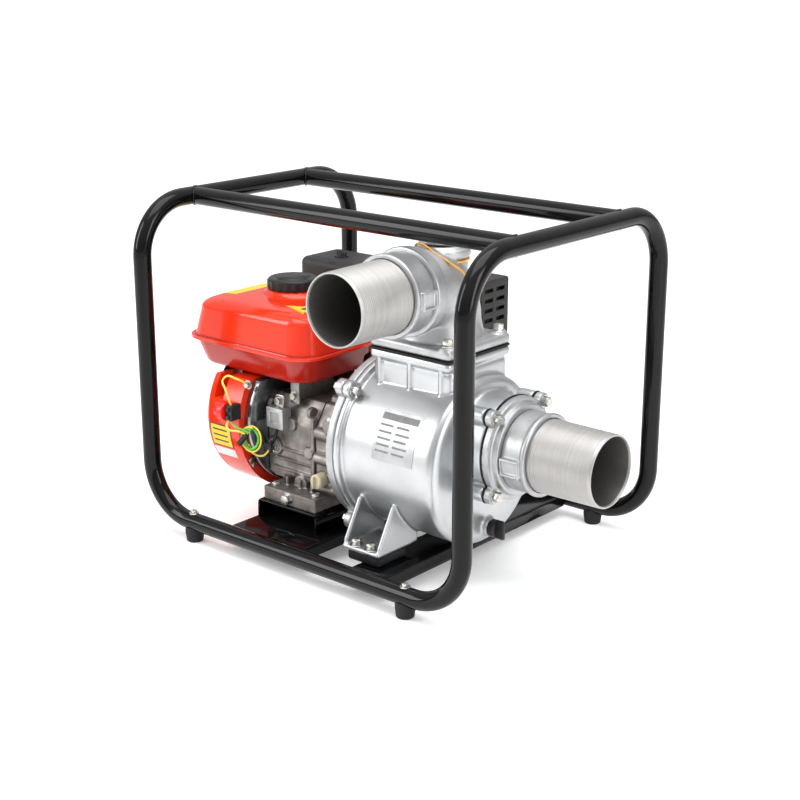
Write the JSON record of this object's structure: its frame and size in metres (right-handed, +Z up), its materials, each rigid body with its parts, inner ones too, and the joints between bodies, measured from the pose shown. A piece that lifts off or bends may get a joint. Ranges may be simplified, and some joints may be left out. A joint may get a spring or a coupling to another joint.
{
  "type": "portable fire pump",
  "caption": "Petrol engine water pump in a tubular steel roll frame, with an end suction tail, an elbow outlet tail, a fuel tank, a muffler and a rope starter.",
  "frame": {"origin": "middle of the box that holds the whole pump, on the ground under its feet", "axes": "+X along the crankshaft towards the suction tail, -Y towards the outlet tail, +Z up"},
  "size_m": [0.7214, 0.5038, 0.5135],
  "materials": {
    "frame_black": "gloss black powder coat",
    "rubber": "matt black rubber",
    "engine_red": "gloss red enamel",
    "cast_aluminium": "light grey blasted casting",
    "engine_casting": "warm grey die casting",
    "grey_sheet": "satin grey paint",
    "machined_steel": "turned steel",
    "zinc_steel": "bright zinc plate",
    "cast_iron": "raw iron",
    "black_plastic": "satin black plastic",
    "red_plastic": "red plastic",
    "cream_plastic": "cream plastic",
    "heat_black": "matt heat-proof black",
    "filter_foam": "oiled foam",
    "ceramic": "glazed white ceramic with a steel shell"
  },
  "bodies": {
    "pump_unit": {"frame_left_tube": "frame_black", "frame_right_tube": "frame_black", "top_bar_front": "frame_black", "top_bar_rear": "frame_black", "engine_plate": "frame_black", "pump_channel": "frame_black", "engine_riser": "frame_black", "rubber_foot_front_left": "rubber", "rubber_foot_front_right": "rubber", "rubber_foot_rear_left": "rubber", "rubber_foot_rear_right": "rubber", "rubber_mount_front": "rubber", "rubber_mount_rear": "rubber", "crankcase": "engine_casting", "crankcase_cover": "engine_casting", "cylinder_head": "engine_casting", "rocker_cover": "grey_sheet", "spark_plug": "ceramic", "piston": "cast_aluminium", "fan_cover": "engine_red", "blower_shroud": "grey_sheet", "recoil_cover": "engine_red", "switch_body": "black_plastic", "fuel_tank": "engine_red", "tank_bracket_left": "grey_sheet", "tank_bracket_right": "grey_sheet", "carburettor": "cast_aluminium", "throttle_stand": "grey_sheet", "air_cleaner_base": "black_plastic", "air_cleaner_cover": "black_plastic", "filter_element": "filter_foam", "muffler": "heat_black", "muffler_guard": "heat_black", "pump_bracket": "cast_aluminium", "pump_casing": "cast_aluminium", "volute": "cast_aluminium", "shaft_seal": "rubber", "suction_gasket": "rubber", "suction_flange": "cast_aluminium", "suction_tail": "cast_aluminium", "outlet_gasket": "rubber", "outlet_elbow": "cast_aluminium", "outlet_tail": "cast_aluminium"},
    "rotor": {"crankshaft": "machined_steel", "flywheel": "cast_iron", "impeller": "cast_aluminium"},
    "recoil_pulley": {"recoil_pulley": "black_plastic"},
    "starter_handle": {"starter_handle": "black_plastic"},
    "switch_knob": {"switch_knob": "red_plastic"},
    "fuel_cap": {"fuel_cap": "black_plastic"},
    "priming_cap": {"priming_cap": "cast_aluminium"},
    "drain_knob": {"drain_knob": "black_plastic"},
    "oil_dipstick": {"oil_dipstick": "cream_plastic"},
    "air_cleaner_knob": {"air_cleaner_knob": "black_plastic"},
    "throttle_lever": {"throttle_lever": "zinc_steel"},
    "choke_lever": {"choke_lever": "black_plastic"},
    "fuel_valve_lever": {"fuel_valve_lever": "black_plastic"},
    "suction_flap": {"suction_flap": "rubber"},
    "suction_nut": {"suction_nut": "cast_aluminium"},
    "outlet_nut": {"outlet_nut": "cast_aluminium"}
  },
  "joints": [
    {"name": "crankshaft_spin", "type": "hinge", "parent": "pump_unit", "child": "rotor", "pos_m": [-0.04727, -0.0374, 0.174], "axis": [1, 0, 0], "continuous": true},
    {"name": "starter_pull", "type": "slide", "parent": "pump_unit", "child": "starter_handle", "axis": [0, 0.9659, 0.2588], "range_m": [0, 0.5], "stiffness_N_per_m": 12, "springref_m": -0.25},
    {"name": "recoil_pulley_spin", "type": "hinge", "parent": "pump_unit", "child": "recoil_pulley", "pos_m": [-0.30028, -0.0374, 0.174], "axis": [1, 0, 0], "range_deg": [0, 880]},
    {"name": "engine_switch_turn", "type": "hinge", "parent": "pump_unit", "child": "switch_knob", "pos_m": [-0.23028, -0.1684, 0.199], "axis": [1, 0, 0], "range_deg": [0, 90]},
    {"name": "fuel_cap_turn", "type": "hinge", "parent": "pump_unit", "child": "fuel_cap", "pos_m": [-0.23128, -0.0174, 0.353], "axis": [0, 0, 1], "range_deg": [0, 90]},
    {"name": "priming_cap_turn", "type": "hinge", "parent": "pump_unit", "child": "priming_cap", "pos_m": [0.07172, -0.0334, 0.472], "axis": [0, 0, 1], "range_deg": [0, 720]},
    {"name": "drain_knob_turn", "type": "hinge", "parent": "pump_unit", "child": "drain_knob", "pos_m": [0.16673, -0.0344, 0.076], "axis": [1, 0, 0], "range_deg": [0, 1080]},
    {"name": "oil_dipstick_turn", "type": "hinge", "parent": "pump_unit", "child": "oil_dipstick", "pos_m": [-0.08528, -0.1094, 0.11], "axis": [0, -1, 0], "range_deg": [0, 720]},
    {"name": "air_cleaner_knob_turn", "type": "hinge", "parent": "pump_unit", "child": "air_cleaner_knob", "pos_m": [-0.23528, 0.0966, 0.3883], "axis": [0, 0, 1], "range_deg": [0, 1080]},
    {"name": "throttle_lever_swing", "type": "hinge", "parent": "pump_unit", "child": "throttle_lever", "pos_m": [-0.24327, 0.0686, 0.266], "axis": [0, 0, 1], "range_deg": [-20, 25]},
    {"name": "choke_lever_swing", "type": "hinge", "parent": "pump_unit", "child": "choke_lever", "pos_m": [-0.23528, 0.12446, 0.25354], "axis": [0, 0, 1], "range_deg": [-45, 0]},
    {"name": "fuel_valve_turn", "type": "hinge", "parent": "pump_unit", "child": "fuel_valve_lever", "pos_m": [-0.23528, 0.10416, 0.20824], "axis": [0, -1, 0], "range_deg": [0, 90]},
    {"name": "suction_flap_swing", "type": "hinge", "parent": "pump_unit", "child": "suction_flap", "pos_m": [0.19873, -0.0374, 0.248], "axis": [0, 1, 0], "range_deg": [0, 45]},
    {"name": "suction_nut_turn", "type": "hinge", "parent": "pump_unit", "child": "suction_nut", "pos_m": [0.22273, -0.0374, 0.205], "axis": [1, 0, 0], "range_deg": [0, 1080]},
    {"name": "outlet_nut_turn", "type": "hinge", "parent": "pump_unit", "child": "outlet_nut", "pos_m": [0.07072, -0.1139, 0.4145], "axis": [0, -1, 0], "range_deg": [0, 1080]}
  ],
  "couplings": [
    {"joint": "recoil_pulley_spin", "follows": "starter_pull", "rad_per_m": 30.303}
  ]
}
